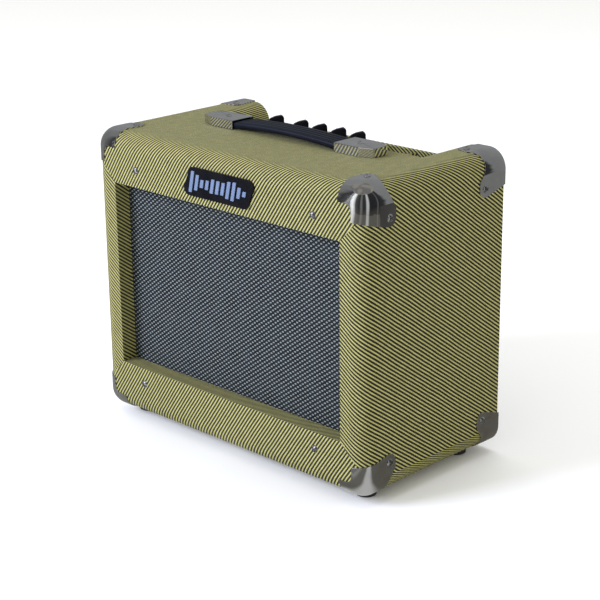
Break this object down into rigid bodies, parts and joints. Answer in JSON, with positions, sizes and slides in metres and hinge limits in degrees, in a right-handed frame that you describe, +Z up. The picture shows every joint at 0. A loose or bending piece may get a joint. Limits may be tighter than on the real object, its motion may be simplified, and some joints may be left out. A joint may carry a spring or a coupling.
{
  "type": "guitar amplifier",
  "caption": "Small guitar combo amplifier: tweed-covered cabinet, woven grille, chrome corner guards, strap handle and a recessed top panel with pointer knobs.",
  "frame": {"origin": "on the floor under the middle of the cabinet, at the feet", "axes": "+X to the right seen from the front, +Y from the front grille to the back, +Z up"},
  "size_m": [0.407, 0.216, 0.3438],
  "materials": {
    "tweed_wood": "boards covered in yellow and dark brown diagonal tweed cloth",
    "back_board": "fibreboard painted matt black",
    "pine": "planed softwood",
    "plywood": "plywood stained dark",
    "grille_cloth": "woven cloth, silver-blue on black",
    "chrome": "polished plate",
    "screw_steel": "nickel-plated screws",
    "badge_black": "gloss",
    "badge_blue": "pale blue, satin",
    "foot_rubber": "matt",
    "strap_rubber": "ribbed, satin",
    "panel_paint": "satin black",
    "chassis_steel": "zinc-plated sheet",
    "circuit_laminate": "green solder mask",
    "pot_metal": "turned and plated",
    "knob_plastic": "moulded, satin",
    "socket_metal": "plated",
    "switch_plastic": "moulded",
    "lamp_lens": "red lens",
    "core_iron": "varnished",
    "basket_paint": "pressed steel painted black",
    "suspension_cloth": "treated cloth",
    "cone_paper": "pressed pulp",
    "coil_copper": "copper wire on its former"
  },
  "bodies": {
    "cabinet": {"side_panel_left": "tweed_wood", "side_panel_right": "tweed_wood", "top_board": "tweed_wood", "bottom_board": "tweed_wood", "recess_cheek_left": "tweed_wood", "recess_cheek_right": "tweed_wood", "recess_front_wall": "tweed_wood", "rear_rail": "tweed_wood", "back_panel": "back_board", "back_cleats": "pine", "back_screws": "screw_steel", "baffle_board": "plywood", "grille_cloth": "grille_cloth", "front_screws": "screw_steel", "badge_plate": "badge_black", "badge_bars": "badge_blue", "corner_guards_top_front": "chrome", "corner_guards_top_rear": "chrome", "corner_guards_bottom_front": "chrome", "corner_guards_bottom_rear": "chrome", "corner_screws": "screw_steel", "rubber_feet": "foot_rubber", "foot_screws": "screw_steel", "handle_cap_left": "chrome", "handle_cap_right": "chrome", "handle_screws": "screw_steel", "control_panel": "panel_paint", "panel_screws": "screw_steel", "chassis": "chassis_steel", "circuit_board": "circuit_laminate", "potentiometer_bodies": "pot_metal", "potentiometer_nuts": "pot_metal", "input_jack": "socket_metal", "phones_jack": "socket_metal", "aux_jack": "socket_metal", "boost_switch": "socket_metal", "power_switch": "switch_plastic", "power_lamp": "lamp_lens", "mains_inlet": "switch_plastic", "transformer": "core_iron", "speaker_basket": "basket_paint", "speaker_magnet": "core_iron", "speaker_suspension": "suspension_cloth", "speaker_fixings": "screw_steel"},
    "gain_control": {"gain_knob": "knob_plastic", "gain_shaft": "pot_metal"},
    "volume_control": {"volume_knob": "knob_plastic", "volume_shaft": "pot_metal"},
    "treble_control": {"treble_knob": "knob_plastic", "treble_shaft": "pot_metal"},
    "middle_control": {"middle_knob": "knob_plastic", "middle_shaft": "pot_metal"},
    "bass_control": {"bass_knob": "knob_plastic", "bass_shaft": "pot_metal"},
    "boost_push": {"boost_button": "knob_plastic"},
    "power_tip": {"power_rocker": "knob_plastic"},
    "cone_assembly": {"speaker_cone": "cone_paper", "voice_coil": "coil_copper"},
    "strap_half_left": {"handle_strap_left": "strap_rubber"},
    "strap_half_right": {"handle_strap_right": "strap_rubber"}
  },
  "joints": [
    {"name": "gain_turn", "type": "hinge", "parent": "cabinet", "child": "gain_control", "pos_m": [-0.08951, 0.0645, 0.307], "axis": [0, 0, 1], "range_deg": [-300, 0]},
    {"name": "volume_turn", "type": "hinge", "parent": "cabinet", "child": "volume_control", "pos_m": [-0.05151, 0.0645, 0.307], "axis": [0, 0, 1], "range_deg": [-300, 0]},
    {"name": "treble_turn", "type": "hinge", "parent": "cabinet", "child": "treble_control", "pos_m": [-0.02321, 0.0645, 0.307], "axis": [0, 0, 1], "range_deg": [-300, 0]},
    {"name": "middle_turn", "type": "hinge", "parent": "cabinet", "child": "middle_control", "pos_m": [0.00509, 0.0645, 0.307], "axis": [0, 0, 1], "range_deg": [-300, 0]},
    {"name": "bass_turn", "type": "hinge", "parent": "cabinet", "child": "bass_control", "pos_m": [0.03339, 0.0645, 0.307], "axis": [0, 0, 1], "range_deg": [-300, 0]},
    {"name": "boost_press", "type": "slide", "parent": "cabinet", "child": "boost_push", "axis": [0, 0, 1], "range_m": [-0.0025, 0], "stiffness_N_per_m": 400},
    {"name": "power_tilt", "type": "hinge", "parent": "cabinet", "child": "power_tip", "pos_m": [0.122, 0.0645, 0.304], "axis": [1, 0, 0], "range_deg": [-18, 0]},
    {"name": "cone_travel", "type": "slide", "parent": "cabinet", "child": "cone_assembly", "axis": [0, -1, 0], "range_m": [-0.002, 0.002], "stiffness_N_per_m": 2000},
    {"name": "strap_lift", "type": "hinge", "parent": "cabinet", "child": "strap_half_right", "pos_m": [0.075, 0.001, 0.3365], "axis": [0, 1, 0], "range_deg": [0, 9]},
    {"name": "strap_flex", "type": "hinge", "parent": "strap_half_right", "child": "strap_half_left", "pos_m": [0, 0.001, 0.3357], "axis": [0, 1, 0], "range_deg": [-18, 0]}
  ],
  "couplings": [
    {"joint": "strap_flex", "follows": "strap_lift", "ratio": -2}
  ]
}
